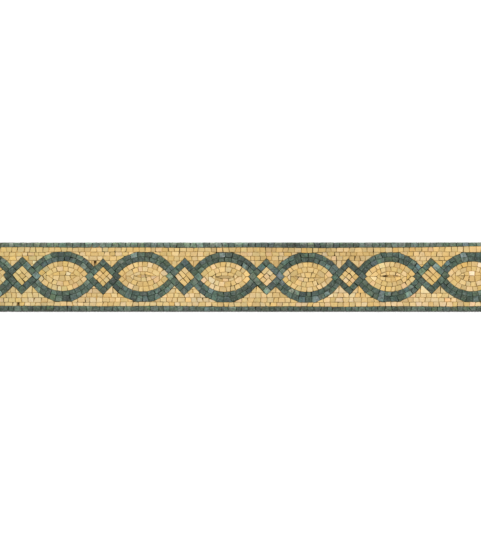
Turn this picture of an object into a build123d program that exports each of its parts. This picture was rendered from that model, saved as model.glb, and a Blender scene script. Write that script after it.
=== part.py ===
from build123d import *
import math
import os
import random

# Natural-stone mosaic border strip, lying face up. Straight-cut stones with
# open joints stand on a thin mesh backing. Millimetres, +Z up, X along the
# strip, origin in the middle of the underside.

# ---- driving dimensions -------------------------------------------------
LENGTH = 1000.0  # one sold strip, seven repeats of the pattern
WIDTH = 120.0  # over the stones
MESH_OUT = 1.6  # how far the mesh stands out past the lower edge course
BACKING_T = 1.0  # mesh with its adhesive film
STONE_T = 8.0  # tallest stones
STONE_T_SPREAD = 0.45  # stones are up to this much lower
FOOT_T = 0.6  # glue in the foot of the joints, which ties a group together

# Hand-laid places of the motifs along the strip, and how far each sits off
# the middle line
LENS_X = [-500.0, -358.6, -218.3, -75.0, 68.6, 213.4, 356.2, 500.0]
LENS_Y = [0.9, 1.0, 0.3, -0.35, -0.8, 0.0, 0.5, 0.2]
DIAMOND_X = [-429.55, -288.06, -145.83, -2.43, 141.5, 285.2, 428.6]
DIAMOND_Y = [2.0, 0.0, -0.2, 0.2, -0.35, 1.3, 0.4]

# A lens is two facing arcs. Radii are from an arc's centre, which lies
# ARC_DROP past the middle line on the far side. The outside of a lens is
# laid in short straight runs, so it has corners at these angles from upright.
ARC_DROP = 28.5
FILL_R = 54.8  # lens fill meets its frame
FRAME_MID_R = 63.0  # between the two courses of the frame
CORNER_DEG = [11.4, 26.0, 39.0, 57.0]
CORNER_R = {1: [72.2, 71.4, 70.9, 70.8], -1: [74.0, 72.0, 71.4, 71.2]}
FILL_COURSE = 8.6  # height of a curved course in the fill

DIAMOND_IN = 17.5  # half diagonals of a diamond's frame
DIAMOND_OUT = [33.2, 31.6, 32.9, 32.0, 31.4, 31.8, 31.9]
DIAMOND_TURN = [-1.2, 0.0, -2.0, 0.8, 2.0, 1.2, 0.0]  # degrees off square

# Straight rows, as distances from the middle line, from the edge inwards
ROWS = {1: [60.0, 51.3, 43.2, 35.9, 28.0], -1: [60.0, 51.3, 44.5, 36.4, 28.4]}
# How the edge courses narrow and the outside of the upper one dips along the strip
EDGE_DRIFT = {
    1: [(-500, -0.2), (-415, -0.2), (-310, 0.1), (-200, -0.1), (-75, -0.7), (105, -0.9), (230, 0.3), (350, 1.3), (500, 0.8)],
    -1: [(-500, -0.2), (-310, -0.1), (-206, -0.5), (-101, 1.0), (4, 1.1), (108, 0.8), (213, 0.25), (318, 0.7), (500, 0.4)],
}
RIM_DRIFT = [(-500, -0.8), (-370, -0.7), (-280, 0.0), (500, 0.0)]
RIM_NICK_X = 194.0  # two stones with broken corners on the upper rim

EDGE_STONE = 11.3  # usual lengths of the stones
GROUND_STONE = 10.5
FRAME_STONE = 11.0
FILL_STONE = 9.2

JOINT_LEAST = 0.11  # what each stone stays back from the joint's middle, mostly
JOINT_MOST = 0.50  # nearer the least

rnd = random.Random(2207)
HALF_L, HALF_W = LENGTH / 2, WIDTH / 2


# ---- convex outlines, as lists of points, anticlockwise -----------------
def area(poly):
    return 0.5 * sum(
        a[0] * b[1] - b[0] * a[1] for a, b in zip(poly, poly[1:] + poly[:1])
    )


def middle(poly):
    return sum(p[0] for p in poly) / len(poly), sum(p[1] for p in poly) / len(poly)


def clip(poly, nx, ny, d):
    """What lies where nx*x + ny*y <= d."""
    kept = []
    for a, b in zip(poly, poly[1:] + poly[:1]):
        sa, sb = nx * a[0] + ny * a[1] - d, nx * b[0] + ny * b[1] - d
        if sa <= 0:
            kept.append(a)
        if (sa < 0 < sb) or (sb < 0 < sa):
            t = sa / (sa - sb)
            kept.append((a[0] + t * (b[0] - a[0]), a[1] + t * (b[1] - a[1])))
    return kept


def tidy(poly, least=0.45):
    """Without points that nearly meet or lie on a straight side."""
    out = []
    for p in poly:
        if not out or math.dist(p, out[-1]) > least:
            out.append(p)
    while len(out) > 2 and math.dist(out[0], out[-1]) <= least:
        out.pop()
    done = False
    while not done and len(out) > 3:
        done = True
        for i in range(len(out)):
            a, b, c = out[i - 1], out[i], out[(i + 1) % len(out)]
            turn = (b[0] - a[0]) * (c[1] - b[1]) - (b[1] - a[1]) * (c[0] - b[0])
            if abs(turn) < 0.12 * math.dist(a, c):
                out.pop(i)
                done = False
                break
    return out


def sides(poly):
    """Each side with its outward normal."""
    for a, b in zip(poly, poly[1:] + poly[:1]):
        run = math.dist(a, b)
        if run > 1e-6:
            yield a, b, (b[1] - a[1]) / run, -(b[0] - a[0]) / run


def narrowest(poly):
    """Least width of a convex outline."""
    return min(
        max((a[0] - p[0]) * nx + (a[1] - p[1]) * ny for p in poly)
        for a, b, nx, ny in sides(poly)
    )


def along(x, points):
    """Height at x of a line through points."""
    for (x0, y0), (x1, y1) in zip(points, points[1:]):
        if x <= x1:
            return y0 + (y1 - y0) * max(0.0, (x - x0) / (x1 - x0))
    return points[-1][1]


# ---- cells of the pattern -----------------------------------------------
# Each cell is the room of one stone up to the middle of its joints. The upper
# and lower halves are worked out alike in (x, w), where w is the distance
# from the middle line.
cells = []


def add(node, poly, side=1, least=14.0):
    if len(poly) < 3:
        return
    if side < 0:
        poly = [(x, -w) for x, w in reversed(poly)]
    if area(poly) >= least:
        cells.append((node, poly))


def wave(x, k):
    return 0.42 * math.sin(x / 71.0 + 1.9 * k) + 0.28 * math.sin(x / 31.0 + 2.7 * k)


corners = {}
for k in range(8):
    for side in (1, -1):
        corners[k, side] = sorted(
            (hand * math.radians(a + rnd.uniform(-1.6, 1.6)), r + rnd.uniform(-0.25, 0.25))
            for hand in (-1, 1)
            for a, r in zip(CORNER_DEG, CORNER_R[side])
        )


def arc_centre(k, side):
    return LENS_X[k], side * LENS_Y[k] - ARC_DROP


def outside_r(t, k, side):
    """Radius of a lens's outside at an angle from upright."""
    found = corners[k, side]
    t = max(found[0][0], min(found[-1][0], t))
    for (t0, r0), (t1, r1) in zip(found, found[1:]):
        if t <= t1:
            return r0 * r1 * math.sin(t1 - t0) / (
                r0 * math.sin(t - t0) + r1 * math.sin(t1 - t)
            )


def outline_points(k, side):
    cx, cy = arc_centre(k, side)
    return [(cx + r * math.sin(t), cy + r * math.cos(t)) for t, r in corners[k, side]]


def frame_top(x, k, side):
    """Height of the outside of lens k over the middle line."""
    points = outline_points(k, side)
    if not points[0][0] <= x <= points[-1][0]:
        return -99.0
    return along(x, points)


def row_line(x, i, side):
    """Where row line i runs. Line 2 passes the top of each lens."""
    base = ROWS[side][i]
    if i == 0:
        return base + (along(x, RIM_DRIFT) if side > 0 else 0.0)
    w = base + wave(x, i + (5 if side < 0 else 0))
    if i == 1:
        w += along(x, EDGE_DRIFT[side])
    if i == 2:
        for k, xl in enumerate(LENS_X):
            reach = math.exp(-(((x - xl) / 21.0) ** 2))
            w += reach * (frame_top(xl, k, side) + 0.1 - w)
    return w


def spaced(start, end, size, jitter=0.17):
    """Joints from start to end, about size apart."""
    n = max(1, round((end - start) / size))
    step = (end - start) / n
    return (
        [start]
        + [start + step * (i + rnd.uniform(-jitter, jitter)) for i in range(1, n)]
        + [end]
    )


def pairs(values):
    return zip(values, values[1:])


def row_cells(joints, upper, lower, side, lean=0.45):
    """Cells between two row lines. Joints lean a little."""
    leans = [0.0] + [rnd.gauss(0, lean) for _ in joints[2:]] + [0.0]
    out = []
    for (a, b), (la, lb) in zip(pairs(joints), pairs(leans)):
        out.append(
            [
                (a - la, row_line(a - la, lower, side) if lower else 0.0),
                (b - lb, row_line(b - lb, lower, side) if lower else 0.0),
                (b + lb, row_line(b + lb, upper, side)),
                (a + la, row_line(a + la, upper, side)),
            ]
        )
    return out


def off_lens(poly, k, side, floor):
    """Cuts a cell along the outside of lens k, above the height floor."""
    points = outline_points(k, side)
    high = [p[0] for p in points if p[1] > floor]
    if not high:
        return poly
    x0, x1 = min(p[0] for p in poly), max(p[0] for p in poly)

    def reach(x, hand):
        while abs(x - LENS_X[k]) < 60.0 and frame_top(x, k, side) > floor:
            x += hand * 0.5
        return x

    x0 = max(x0, reach(high[0], -1))
    x1 = min(x1, reach(high[-1], 1))
    if x1 - x0 < 0.3:
        return poly
    y0, y1 = frame_top(x0, k, side), frame_top(x1, k, side)
    slope = (y1 - y0) / (x1 - x0)
    lift = max([0.0] + [y - y0 - slope * (x - x0) for x, y in points if x0 < x < x1])
    return clip(poly, slope, -1.0, slope * x0 - y0 - lift)


def diamond_side(b, side, hand):
    """Outward normal and distance of diamond b's outside, upwards on one hand."""
    t = math.radians((45 if hand > 0 else 135) + side * DIAMOND_TURN[b])
    nx, ny = math.cos(t), math.sin(t)
    out = DIAMOND_OUT[b] / math.sqrt(2.0)
    return nx, ny, nx * DIAMOND_X[b] + ny * side * DIAMOND_Y[b] + out


def off_diamond(poly, b, side, hand):
    nx, ny, d = diamond_side(b, side, hand)
    return clip(poly, -nx, -ny, -d)


def notch(k, b, side):
    """Where lens k's arc meets the upper frame of diamond b."""
    hand = 1 if LENS_X[k] > DIAMOND_X[b] else -1
    nx, ny, d = diamond_side(b, side, hand)
    u = 0.0
    while u < 40.0:
        x = DIAMOND_X[b] + hand * u
        w = (d - nx * x) / ny
        if frame_top(x, k, side) >= w:
            break
        u += 0.05
    return x, w


def row_start(k, hand, side, line):
    """Along row line `line` from lens k, where a stone 1.7 high has room."""
    d = 0.0
    while d < 69.0:
        x = LENS_X[k] + hand * d
        if row_line(x, line, side) - frame_top(x, k, side) >= 1.7:
            break
        d += 0.25
    return LENS_X[k] + hand * d


# Diamonds: frames of one course, and fills in strips or as a pinwheel
PATTERNS = ["down", "wheel", "down", "up", "wheel", "down", "up"]
for b in range(7):
    xd, yd = DIAMOND_X[b], DIAMOND_Y[b]

    def turned(p0, p1, q0, q1):
        """A rectangle in the diamond's own axes, p to the upper right."""
        t = math.radians(45 + DIAMOND_TURN[b])
        return [
            (xd + p * math.cos(t) - q * math.sin(t), yd + p * math.sin(t) + q * math.cos(t))
            for p, q in ((p0, q0), (p1, q0), (p1, q1), (p0, q1))
        ]

    i, o = DIAMOND_IN / math.sqrt(2.0), DIAMOND_OUT[b] / math.sqrt(2.0)
    over_top, over_foot = rnd.random() < 0.5, rnd.random() < 0.5
    runs = [
        # the upper sides run through the crossings, the lower ones butt on them
        ("p", i, o, -o, o if over_top else i),
        ("q", i, o, -o, i if over_top else o),
        ("p", -o, -i, -o if over_foot else -i, i),
        ("q", -o, -i, -i if over_foot else -o, i),
    ]
    for axis, a0, a1, s0, s1 in runs:
        for c0, c1 in pairs(spaced(s0, s1, FRAME_STONE, 0.13)):
            poly = turned(a0, a1, c0, c1) if axis == "p" else turned(c0, c1, a0, a1)
            add(f"diamond_frame_{b + 1}", poly, 1, 16.0)

    if PATTERNS[b] == "wheel":
        t = i / 3.0
        rooms = [(-i, t, t, i), (t, i, -t, i), (-t, i, -i, -t), (-i, -t, -i, t)]
        rects = [(-t, t, -t, t)]
        for p0, p1, q0, q1 in rooms:
            if p1 - p0 > q1 - q0:
                m = (p0 + p1) / 2 + rnd.uniform(-1, 1)
                rects += [(p0, m, q0, q1), (m, p1, q0, q1)]
            else:
                m = (q0 + q1) / 2 + rnd.uniform(-1, 1)
                rects += [(p0, p1, q0, m), (p0, p1, m, q1)]
    else:
        strips = [-i, -i / 3 + rnd.uniform(-0.6, 0.6), i / 3 + rnd.uniform(-0.6, 0.6), i]
        rects = []
        for a0, a1 in pairs(strips):
            for c0, c1 in pairs(spaced(-i, i, 2 * i / rnd.choice([2, 2, 3]))):
                rects.append(
                    (a0, a1, c0, c1) if PATTERNS[b] == "down" else (c0, c1, a0, a1)
                )
    for rect in rects:
        add(f"diamond_fill_{b + 1}", turned(*rect), 1, 12.0)


def off_diamonds(poly, k, side):
    """Cuts a cell of lens k along the frames of the diamonds beside it."""
    for hand in (-1, 1):
        b = k if hand > 0 else k - 1
        if 0 <= b <= 6 and len(poly) >= 3:
            poly = off_diamond(poly, b, side, -hand)
    return poly


# Some lenses have a few thin stones lying along the seam of their fill
EYES = {2: 1.5, 3: 2.3, 5: 1.7}
# Each fill has an uneven seam near the middle line, as a line through points
seams = {
    k: [
        (xl + dx, LENS_Y[k] + 0.4 + rnd.uniform(-a, a) * (1.0 if k in EYES else 2.1))
        for dx, a in ((-47, 0.2), (-34, 0.7), (-20, 1.1), (0, 0.9), (20, 1.1), (34, 0.7), (47, 0.2))
    ]
    for k, xl in enumerate(LENS_X)
}


def end_angle(k, side, hand, r, to_seam=True):
    """Angle at which a course of radius r ends at a diamond or the seam."""
    cx, cy = arc_centre(k, side)
    b = k if hand > 0 else k - 1
    nx, ny, d = diamond_side(b, side, -hand)
    t = 0.0
    while t < 1.3:
        x, w = cx + hand * r * math.sin(t), cy + r * math.cos(t)
        if nx * x + ny * w < d or (to_seam and w < side * along(x, seams[k])):
            break
        t += 0.002
    return hand * t


def arc_cells(k, side, r_in, r_out, joints, first=None, last=None, lean=0.010):
    """Cells of one curved course about lens k, joints as angles from upright.
    first and last are (inner angle, outer angle, point between) at its ends.
    With no r_out, the course reaches the outside of the frame."""
    cx, cy = arc_centre(k, side)
    cuts = [(t - e, t + e, None) for t in joints for e in [rnd.gauss(0, lean)]]
    cuts[0] = first or (joints[0], joints[0], None)
    cuts[-1] = last or (joints[-1], joints[-1], None)
    out = []
    for (a_in, a_out, a_tip), (b_in, b_out, b_tip) in pairs(cuts):
        poly = [(r_in, a_in), (r_in, b_in)]
        split = len(poly)
        if r_out is None:
            poly.append((outside_r(b_out, k, side), b_out))
            for t, r in reversed(corners[k, side]):
                if a_out + 0.012 < t < b_out - 0.012:
                    poly.append((r, t))
            poly.append((outside_r(a_out, k, side), a_out))
        else:
            n = max(1, math.ceil((b_out - a_out) * r_out / 9.0))
            poly += [(r_out, b_out + (a_out - b_out) * j / n) for j in range(n + 1)]
        points = [(cx + r * math.sin(t), cy + r * math.cos(t)) for r, t in poly]
        if b_tip:
            points.insert(split, b_tip)
        if a_tip:
            points.append(a_tip)
        out.append(points)
    return out


# Lenses
for k in range(8):
    hands = [h for h in (-1, 1) if 0 <= (k if h > 0 else k - 1) <= 6]
    seam = seams[k]
    eye, flat, far_end = EYES.get(k, 0.0), 8.0, 15.5
    eye_y = along(LENS_X[k], seam)
    for side, half in ((1, "upper"), (-1, "lower")):
        # frame: two courses with some stones as deep as both
        node = f"lens_frame_{half}_{k + 1}"
        r_mid = FRAME_MID_R + rnd.uniform(-0.4, 0.4)
        r_far = CORNER_R[side][-1]

        def frame_end(hand, r0, r1):
            if hand not in hands:
                return None
            return tuple(end_angle(k, side, hand, r, False) for r in (r0, r1)) + (None,)

        ends = [
            end_angle(k, side, h, FRAME_MID_R, False) if h in hands else 0.0
            for h in (-1, 1)
        ]
        marks, deep = [ends[0]], []
        while ends[1] - marks[-1] > 62.0 / FRAME_MID_R:
            whole = len(marks) > 1 and not deep[-1] and rnd.random() < 0.62
            run = rnd.uniform(8.5, 11.5) if whole else rnd.uniform(21.0, 40.0)
            marks.append(marks[-1] + run / FRAME_MID_R)
            deep.append(whole)
        marks.append(ends[1])
        deep.append(False)
        for n, ((t0, t1), whole) in enumerate(zip(pairs(marks), deep)):
            if whole:
                for poly in arc_cells(k, side, FILL_R, None, [t0, t1]):
                    add(node, poly, side, 18.0)
                continue
            for r0, r1 in ((FILL_R, r_mid), (r_mid, None)):
                first = frame_end(-1, r0, r1 or r_far) if n == 0 else None
                last = frame_end(1, r0, r1 or r_far) if n == len(deep) - 1 else None
                u0 = sum(first[:2]) / 2 if first else t0
                u1 = sum(last[:2]) / 2 if last else t1
                joints = spaced(u0, u1, FRAME_STONE / (r0 + 4.0))
                for poly in arc_cells(k, side, r0, r1, joints, first, last):
                    add(node, off_diamonds(poly, k, side), side, 18.0)

    # fill: curved courses down to the seam. At the ends of the inner courses
    # one stone often lies across it.
    radii = [FILL_R, FILL_R - FILL_COURSE, FILL_R - 2 * FILL_COURSE, 18.0]
    radii[1] += rnd.uniform(-0.35, 0.35)
    radii[2] += rnd.uniform(-0.35, 0.35)
    node = f"lens_fill_{k + 1}"
    across = {
        (course, h): course > 0 and rnd.random() < 0.7
        for course in range(3)
        for h in hands
    }

    def trimmed(poly, side):
        """A fill cell down to the seam, or to the thin stones along it."""
        if len(poly) < 3:
            return poly
        dx = middle(poly)[0] - LENS_X[k]
        hand = 1 if dx > 0 else -1
        x0, x1 = min(p[0] for p in poly), max(p[0] for p in poly)
        y0, y1 = side * along(x0, seam), side * along(x1, seam)
        slope = (y1 - y0) / (x1 - x0)
        poly = clip(poly, slope, -1.0, slope * x0 - y0)
        if eye and abs(dx) < flat:
            poly = clip(poly, 0.0, -1.0, -side * eye_y - eye)
        elif eye and abs(dx) < far_end + 4.0:
            slope = -hand * eye / (far_end - flat)
            far = LENS_X[k] + hand * far_end
            poly = clip(poly, slope, -1.0, slope * far - side * eye_y)
        return off_diamonds(poly, k, side)

    for course, (r1, r0) in enumerate(pairs(radii)):
        stop = {}
        for hand in hands:
            if not across[course, hand]:
                continue
            # a stone across the seam, upright at the back and pointed outwards
            reach = abs(r1 * math.sin(end_angle(k, 1, hand, r1)))
            back = reach - rnd.uniform(5.4, 6.2) - 0.6 * course
            stop[hand] = LENS_X[k] + hand * back
            points = []
            for side in (1, -1):
                cx, cy = arc_centre(k, side)
                line = [
                    (cx + hand * dx, side * (cy + math.sqrt(r1 * r1 - dx * dx)))
                    for dx in (back, 0.55 * back + 0.45 * reach)
                ]
                points += line[::-1] if side > 0 else line
            x = LENS_X[k] + hand * reach
            points.append((x, along(x, seam)))
            add(node, points[::-1] if area(points) < 0 else points, 1, 10.0)
        for side in (1, -1):
            ends = []
            for hand in (-1, 1):
                if hand not in hands:
                    ends.append((0.0, 0.0, None))
                elif hand in stop:
                    x = stop[hand]
                    outer = math.asin((x - LENS_X[k]) / r1)
                    inner = end_angle(k, side, hand, r0) if course < 2 else outer
                    ends.append((inner, outer, (x, side * along(x, seam))))
                else:
                    outer = end_angle(k, side, hand, r1)
                    inner = end_angle(k, side, hand, r0) if course < 2 else outer
                    tip = None
                    if course == 0:
                        b = k if hand > 0 else k - 1
                        x = DIAMOND_X[b] - hand * DIAMOND_OUT[b]
                        tip = (x, side * along(x, seam))
                    ends.append((inner, outer, tip))
            t0, t1 = ((e[0] + e[1]) / 2 for e in ends)
            r = (max(r0, ARC_DROP) + r1) / 2
            joints = spaced(t0, t1, FILL_STONE / r)
            for _ in range(4):
                rooms = arc_cells(k, side, r0, r1, joints, ends[0], ends[1])
                rooms = [trimmed(p, side) for p in rooms]
                small = [
                    i
                    for i, p in enumerate(rooms)
                    if len(p) < 3 or area(p) < 24.0 or narrowest(p) < 2.4
                ]
                if not small or len(joints) < 3:
                    break
                i = small[0]
                joints.pop(i + 1 if i < len(rooms) / 2 else i)
            for poly in rooms:
                add(node, poly, side, 10.0)
    if eye:
        outline = [
            (-far_end, 0.0),
            (-flat, -eye),
            (flat, -eye),
            (far_end, 0.0),
            (flat, eye),
            (-flat, eye),
        ]
        outline = [(LENS_X[k] + x, eye_y + y) for x, y in outline]
        cuts = {2: (-15.5, -3.5, 4.0, 15.5), 3: (-15.5, 9.0, 15.5), 5: (-5.0, 6.5, 15.5)}[k]
        for a, b in pairs([LENS_X[k] + c for c in cuts]):
            poly = clip(clip(outline, -1, 0, -a), 1, 0, b)
            add(node, poly, 1, 6.0)

# Ground and edge courses
for side, half in ((1, "upper"), (-1, "lower")):
    joints = spaced(-HALF_L, HALF_L, EDGE_STONE)
    if side > 0:
        near = min(range(len(joints)), key=lambda j: abs(joints[j] - RIM_NICK_X))
        joints[near] = RIM_NICK_X
    for poly in row_cells(joints, 0, 1, side):
        if side > 0:
            for hand in (-1, 1):
                if abs(middle(poly)[0] - RIM_NICK_X - hand * 6.0) < 6.0:
                    poly = clip(
                        poly, -hand, 1.15, -hand * RIM_NICK_X + 1.15 * (HALF_W - 2.6)
                    )
        add(f"{half}_edge_course", poly, side)
    for poly in row_cells(spaced(-HALF_L, HALF_L, GROUND_STONE), 1, 2, side):
        x = middle(poly)[0]
        bay = max(0, min(6, sum(x > xl for xl in LENS_X) - 1))
        for k in (bay, bay + 1):
            poly = off_lens(poly, k, side, 38.0)
        add(f"{half}_ground_{bay + 1}", poly, side)
    for b in range(7):
        node = f"{half}_ground_{b + 1}"
        # second row, from lens to lens
        joints = spaced(
            row_start(b, 1, side, 2), row_start(b + 1, -1, side, 2), GROUND_STONE
        )
        for poly in row_cells(joints, 2, 3, side):
            for k in (b, b + 1):
                poly = off_lens(poly, k, side, ROWS[side][3])
            add(node, poly, side)
        for hand, k in ((-1, b), (1, b + 1)):
            # third row, from the diamond's tip to a lens
            far = row_start(k, -hand, side, 3)
            ends = sorted((DIAMOND_X[b], far))
            for poly in row_cells(spaced(*ends, GROUND_STONE), 3, 4, side):
                poly = off_lens(poly, k, side, ROWS[side][4])
                add(node, off_diamond(poly, b, side, hand), side)
            # corner between the diamond and the lens, under the third row
            xn, wn = notch(k, b, side)
            near = DIAMOND_X[b] + hand * 2.5
            far = row_start(k, -hand, side, 4)
            kind = rnd.choice(["one", "one", "one", "two", "flat"])
            left, right = sorted((near, far))
            if kind == "two":
                cut = rnd.uniform(3.8, 5.0)
                joints = [left, xn - cut, xn + cut, right]
            else:
                joints = [left, xn + rnd.uniform(-3.0, 3.0), right]
            shelf = wn + 0.42 * (ROWS[side][4] - wn)
            rooms = row_cells(joints, 4, None, side, lean=0.25)
            if kind == "flat":
                rooms = [clip(poly, 0, -1, -shelf) for poly in rooms]
                rooms.append([(left, 0.0), (right, 0.0), (right, shelf), (left, shelf)])
            for poly in rooms:
                poly = off_lens(poly, k, side, wn - 1.0)
                add(node, off_diamond(poly, b, side, hand), side, 11.0)


# ---- stones -------------------------------------------------------------
def apart(poly, other):
    """The side of poly that other lies furthest off, and how far."""
    best = None
    for a, b, nx, ny in sides(poly):
        off = min((p[0] - a[0]) * nx + (p[1] - a[1]) * ny for p in other)
        if best is None or off > best[0]:
            best = (off, nx, ny, nx * a[0] + ny * a[1])
    return best


def box(poly):
    xs, ys = [p[0] for p in poly], [p[1] for p in poly]
    return min(xs), max(xs), min(ys), max(ys)


def near_pairs(polys, reach):
    """Indices of outlines whose boxes come within reach, lower index first."""
    boxes = [box(p) for p in polys]
    order = sorted(range(len(polys)), key=lambda i: boxes[i][0])
    for n, i in enumerate(order):
        for j in order[n + 1 :]:
            if boxes[j][0] > boxes[i][1] + reach:
                break
            if boxes[j][2] < boxes[i][3] + reach and boxes[i][2] < boxes[j][3] + reach:
                yield min(i, j), max(i, j)


# Where two cells lap, one is cut back along a side of either, whichever takes
# the least away
def cut_back(p, q):
    """p without the part that laps over q, and what that takes away."""
    off, nx, ny, d = apart(q, p)
    ways = [clip(p, -nx, -ny, -d)]
    off, nx, ny, d = apart(p, q)
    ways.append(clip(p, nx, ny, d + off))
    best = max(ways, key=lambda w: area(w) if len(w) > 2 else 0.0)
    return best, area(p) - (area(best) if len(best) > 2 else 0.0)


polys = [p for _, p in cells]
for i, j in sorted(near_pairs(polys, 0.0)):
    if len(polys[i]) < 3 or len(polys[j]) < 3:
        continue
    if max(apart(polys[i], polys[j])[0], apart(polys[j], polys[i])[0]) > -0.03:
        continue
    earlier, first_loss = cut_back(polys[i], polys[j])
    later, loss = cut_back(polys[j], polys[i])
    if loss < 1.3 * first_loss:
        polys[j] = later
    else:
        polys[i] = earlier


def cut_stone(cell):
    """A straight-cut outline inside its cell, back from the joints."""
    cell = tidy(cell)
    poly = cell
    for a, b, nx, ny in sides(cell):
        outer = abs(nx) > 0.99 and min(abs(a[0]), abs(b[0])) > HALF_L - 0.01
        outer |= abs(ny) > 0.99 and min(abs(a[1]), abs(b[1])) > HALF_W - 1.2
        least, most = (0.1, 0.5) if outer else (JOINT_LEAST, JOINT_MOST)
        da, db = (least + (most - least) * rnd.random() ** 2 for _ in range(2))
        db = da + (db - da) * min(1.0, math.dist(a, b) / 9.0)
        a2 = (a[0] - nx * da, a[1] - ny * da)
        b2 = (b[0] - nx * db, b[1] - ny * db)
        run = math.dist(a2, b2)
        mx, my = (b2[1] - a2[1]) / run, -(b2[0] - a2[0]) / run
        poly = clip(poly, mx, my, mx * a2[0] + my * a2[1])
        if len(poly) < 3:
            return []
    poly = tidy(poly)
    if len(poly) >= 4 and rnd.random() < 0.22:
        # a corner nipped off
        j = rnd.randrange(len(poly))
        p, a, c = poly[j], poly[j - 1], poly[(j + 1) % len(poly)]
        la, lc = math.dist(p, a), math.dist(p, c)
        if min(la, lc) > 4.0:
            ta, tc = (rnd.uniform(0.7, 1.9) for _ in range(2))
            pa = (p[0] + (a[0] - p[0]) * ta / la, p[1] + (a[1] - p[1]) * ta / la)
            pc = (p[0] + (c[0] - p[0]) * tc / lc, p[1] + (c[1] - p[1]) * tc / lc)
            poly = poly[:j] + [pa, pc] + poly[j + 1 :]
    poly = [(round(x, 3), round(y, 3)) for x, y in poly]
    return poly if area(poly) > 6.0 and narrowest(poly) > 1.3 else []


groups = {}
for (node, _), poly in zip(cells, polys):
    outline = cut_stone(poly) if len(poly) >= 3 and area(poly) > 8.0 else []
    if len(outline) >= 3:
        groups.setdefault(node, []).append(outline)


def tie(p, q):
    """(width of the joint, outline of a bar of glue across it) for two stones
    that lie side by side, or None."""
    best = None
    for a, b, nx, ny in sides(p):
        for c, d, mx, my in sides(q):
            if nx * mx + ny * my > -0.8:
                continue
            ux, uy = -ny, nx
            ends = [sorted(r[0] * ux + r[1] * uy for r in pair) for pair in ((a, b), (c, d))]
            lo, hi = max(ends[0][0], ends[1][0]), min(ends[0][1], ends[1][1])
            gap = ((c[0] + d[0] - a[0] - b[0]) * nx + (c[1] + d[1] - a[1] - b[1]) * ny) / 2
            if hi - lo < 1.6 or not 0.0 < gap < 2.4:
                continue
            if best is None or gap - 0.1 * (hi - lo) < best[0]:
                best = (gap - 0.1 * (hi - lo), gap, lo, hi, a, nx, ny, ux, uy)
    if best is None:
        return None
    _, gap, lo, hi, a, nx, ny, ux, uy = best
    s, off = (lo + hi) / 2, a[0] * nx + a[1] * ny
    wide = min(1.2, 0.25 * (hi - lo))
    deep = min(0.7, 0.25 * narrowest(p), 0.25 * narrowest(q))
    return gap, [
        (ux * (s + w) + nx * (off + n), uy * (s + w) + ny * (off + n))
        for w, n in (
            (wide, -deep),
            (-wide, -deep),
            (-wide, gap + deep),
            (wide, gap + deep),
        )
    ]


# The origin is in the middle of the backing, so the stones lie a little off it
UP = MESH_OUT / 2


def prism(outline, height):
    wire = Wire.make_polygon([Vector(x, y + UP, BACKING_T) for x, y in outline], close=True)
    return Solid.extrude(Face(wire), Vector(0, 0, height))


# The stones of a group are tied by bars of glue low in their joints, as few as
# hold the group together.
os.makedirs("parts", exist_ok=True)
pieces = 0
for node, outlines in groups.items():
    found = []
    for i, j in near_pairs(outlines, 2.4):
        bar = tie(outlines[i], outlines[j])
        if bar:
            found.append((bar[0], i, j, bar[1]))
    cluster = list(range(len(outlines)))
    bars = []
    for _, i, j, bar in sorted(found):
        if cluster[i] != cluster[j]:
            old, new = cluster[i], cluster[j]
            cluster = [new if c == old else c for c in cluster]
            bars.append(bar)
    solids = [prism(o, STONE_T - rnd.uniform(0.0, STONE_T_SPREAD)) for o in outlines]
    solids += [prism(bar, FOOT_T) for bar in bars]
    group = solids[0].fuse(*solids[1:]).clean()
    export_step(Compound(children=list(group.solids()), label=node), f"parts/{node}.step")
    pieces += len(outlines)
    print(node, len(outlines), "stones in", len(group.solids()), "solids")

backing = Pos(0, 0, BACKING_T / 2) * Box(LENGTH, WIDTH + MESH_OUT, BACKING_T)
backing.label = "mesh_backing"
export_step(backing, "parts/mesh_backing.step")
print(pieces, "stones in", len(groups), "groups")
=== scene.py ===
import math
import random

import bpy
import numpy as np
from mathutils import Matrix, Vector
from mathutils.kdtree import KDTree


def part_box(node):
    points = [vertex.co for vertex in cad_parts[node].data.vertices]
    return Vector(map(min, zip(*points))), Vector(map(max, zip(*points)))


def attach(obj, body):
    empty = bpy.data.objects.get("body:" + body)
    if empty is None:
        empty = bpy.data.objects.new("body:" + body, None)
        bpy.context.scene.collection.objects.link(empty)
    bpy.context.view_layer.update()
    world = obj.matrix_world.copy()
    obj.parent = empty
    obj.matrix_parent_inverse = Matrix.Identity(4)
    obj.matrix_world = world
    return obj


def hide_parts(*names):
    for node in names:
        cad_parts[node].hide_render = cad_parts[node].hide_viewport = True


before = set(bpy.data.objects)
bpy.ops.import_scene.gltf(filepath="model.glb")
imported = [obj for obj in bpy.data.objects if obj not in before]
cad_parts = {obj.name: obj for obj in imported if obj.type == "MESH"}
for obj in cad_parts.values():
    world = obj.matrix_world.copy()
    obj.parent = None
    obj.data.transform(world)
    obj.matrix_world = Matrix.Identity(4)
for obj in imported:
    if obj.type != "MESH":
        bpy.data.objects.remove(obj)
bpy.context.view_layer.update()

MM = 0.001
BACKING_TOP = 1.0  # mm, where the stones stand
UP = 0.8  # mm from the strip's middle line to the stones', as the mesh stands out below them

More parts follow.
